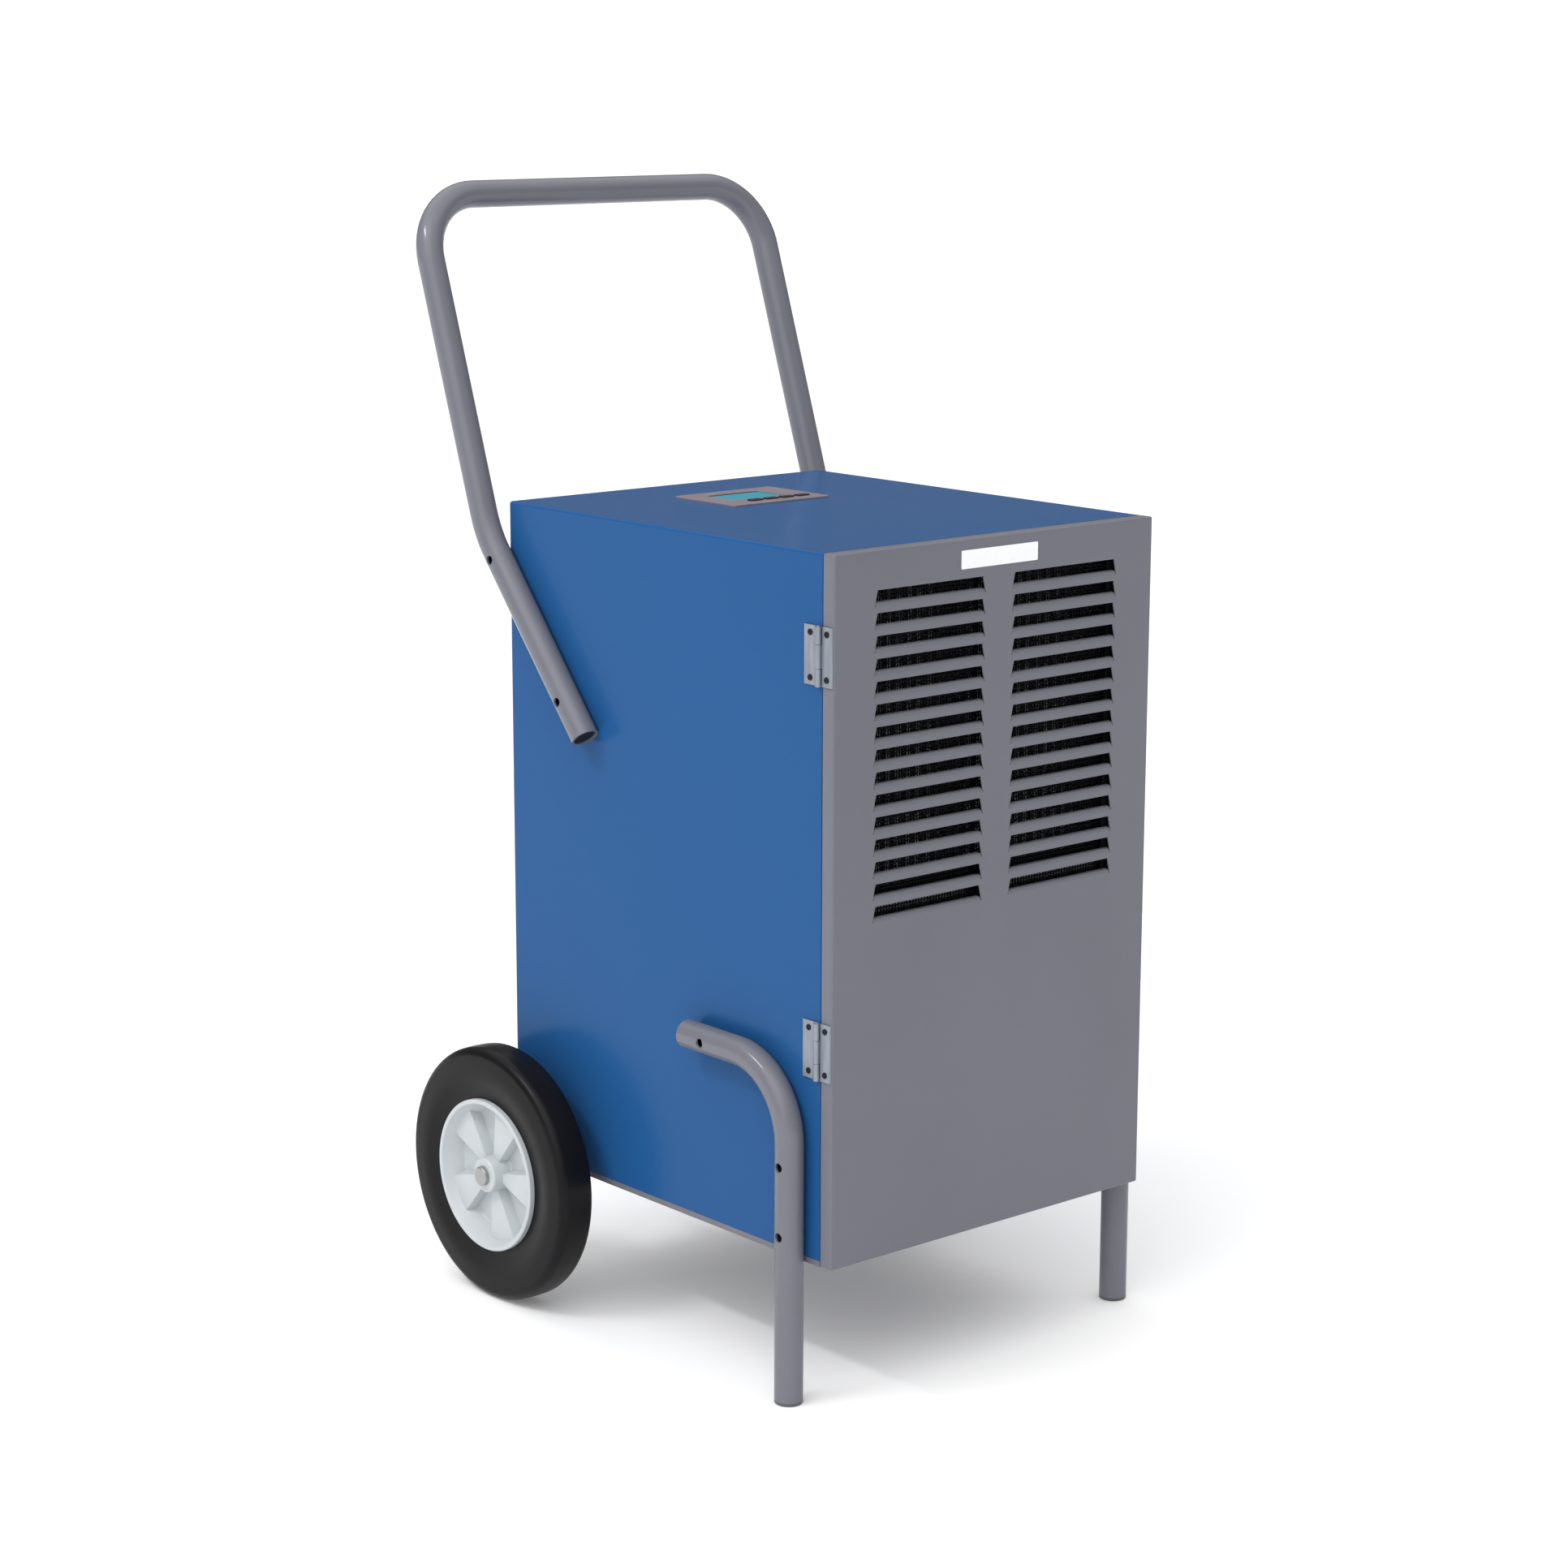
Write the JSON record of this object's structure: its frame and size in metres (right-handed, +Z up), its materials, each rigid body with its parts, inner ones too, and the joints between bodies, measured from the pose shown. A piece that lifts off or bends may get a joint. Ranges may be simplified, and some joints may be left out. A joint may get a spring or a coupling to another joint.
{
  "type": "dehumidifier",
  "caption": "Wheeled commercial dehumidifier: blue folded-steel cabinet with a louvred grey door, bent-tube legs and handle, rubber-tyred wheels and a top control panel.",
  "frame": {"origin": "floor level, under the middle of the machine's overall box", "axes": "+Z up, the door faces -Y, +X to the right seen from the front"},
  "size_m": [0.48, 0.5465, 0.97],
  "materials": {
    "blue_paint": "gloss",
    "grey_paint": "satin",
    "tube_paint": "gloss",
    "galvanised": "satin",
    "zinc_steel": "satin",
    "dark_steel": "satin",
    "cap_metal": "satin",
    "tyre_rubber": "matte",
    "hub_plastic": "satin",
    "black_plastic": "matte",
    "grey_plastic": "matte",
    "panel_plastic": "satin",
    "button_black": "satin",
    "display_glass": "gloss",
    "board_green": "satin",
    "label_white": "satin",
    "filter_net": "matte",
    "seal_foam": "matte",
    "seal_rubber": "matte",
    "coil_fins": "satin",
    "motor_paint": "gloss",
    "copper": "satin",
    "tank_plastic": "satin",
    "float_white": "matte"
  },
  "bodies": {
    "root": {"axle": "zinc_steel", "axle_brackets": "zinc_steel", "axle_caps": "cap_metal", "axle_spacers": "zinc_steel", "back_panel": "blue_paint", "base_pan": "grey_paint", "bay_wall": "galvanised", "bracket_screws": "zinc_steel", "cabinet_hinge_leaves": "zinc_steel", "cabinet_hinge_screws": "dark_steel", "cabinet_screws": "dark_steel", "cabinet_wrap": "blue_paint", "coil_shelf": "galvanised", "compressor": "motor_paint", "compressor_grommets": "seal_rubber", "compressor_studs": "zinc_steel", "condenser": "coil_fins", "control_bezel": "panel_plastic", "control_board": "board_green", "discharge_pipe": "copper", "display_lens": "display_glass", "door_magnets": "black_plastic", "drain_spout": "black_plastic", "drip_tray": "galvanised", "electrics_box": "galvanised", "evaporator": "coil_fins", "fan_motor": "motor_paint", "fan_shroud": "galvanised", "front_frame": "galvanised", "full_tank_switch": "black_plastic", "handle_frame": "tube_paint", "hinge_pins": "zinc_steel", "leg_feet": "grey_plastic", "leg_left": "tube_paint", "leg_right": "tube_paint", "mains_gland": "black_plastic", "suction_pipe": "copper", "tube_plugs": "black_plastic", "water_tank": "tank_plastic"},
    "door": {"door_panel": "grey_paint", "name_plate": "label_white", "filter_frame": "black_plastic", "filter_mesh": "filter_net", "filter_clips": "galvanised", "door_seal": "seal_foam", "door_hinge_leaves": "zinc_steel", "door_hinge_screws": "dark_steel"},
    "wheel_left": {"tyre_left": "tyre_rubber", "hub_left": "hub_plastic", "bush_left": "black_plastic"},
    "wheel_right": {"tyre_right": "tyre_rubber", "hub_right": "hub_plastic", "bush_right": "black_plastic"},
    "fan": {"fan_rotor": "black_plastic", "fan_shaft": "zinc_steel"},
    "float": {"tank_float": "float_white"},
    "button_1": {"button_1": "button_black"},
    "button_2": {"button_2": "button_black"},
    "button_3": {"button_3": "button_black"},
    "button_4": {"button_4": "button_black"}
  },
  "joints": [
    {"name": "door_swing", "type": "hinge", "parent": "root", "child": "door", "pos_m": [-0.1803, -0.25715, 0.461], "axis": [0, 0, -1], "range_deg": [0, 120]},
    {"name": "wheel_left_spin", "type": "hinge", "parent": "root", "child": "wheel_left", "pos_m": [-0.1975, 0.12275, 0.1135], "axis": [1, 0, 0], "continuous": true},
    {"name": "wheel_right_spin", "type": "hinge", "parent": "root", "child": "wheel_right", "pos_m": [0.1975, 0.12275, 0.1135], "axis": [1, 0, 0], "continuous": true},
    {"name": "fan_spin", "type": "hinge", "parent": "root", "child": "fan", "pos_m": [0, -0.13275, 0.552], "axis": [0, 1, 0], "continuous": true},
    {"name": "float_rise", "type": "slide", "parent": "root", "child": "float", "axis": [0, 0, 1], "range_m": [0, 0.185]},
    {"name": "button_1_press", "type": "slide", "parent": "root", "child": "button_1", "axis": [0, 0, -1], "range_m": [0, 0.001], "stiffness_N_per_m": 400, "springref_m": -0.0006},
    {"name": "button_2_press", "type": "slide", "parent": "root", "child": "button_2", "axis": [0, 0, -1], "range_m": [0, 0.001], "stiffness_N_per_m": 400, "springref_m": -0.0006},
    {"name": "button_3_press", "type": "slide", "parent": "root", "child": "button_3", "axis": [0, 0, -1], "range_m": [0, 0.001], "stiffness_N_per_m": 400, "springref_m": -0.0006},
    {"name": "button_4_press", "type": "slide", "parent": "root", "child": "button_4", "axis": [0, 0, -1], "range_m": [0, 0.001], "stiffness_N_per_m": 400, "springref_m": -0.0006}
  ]
}
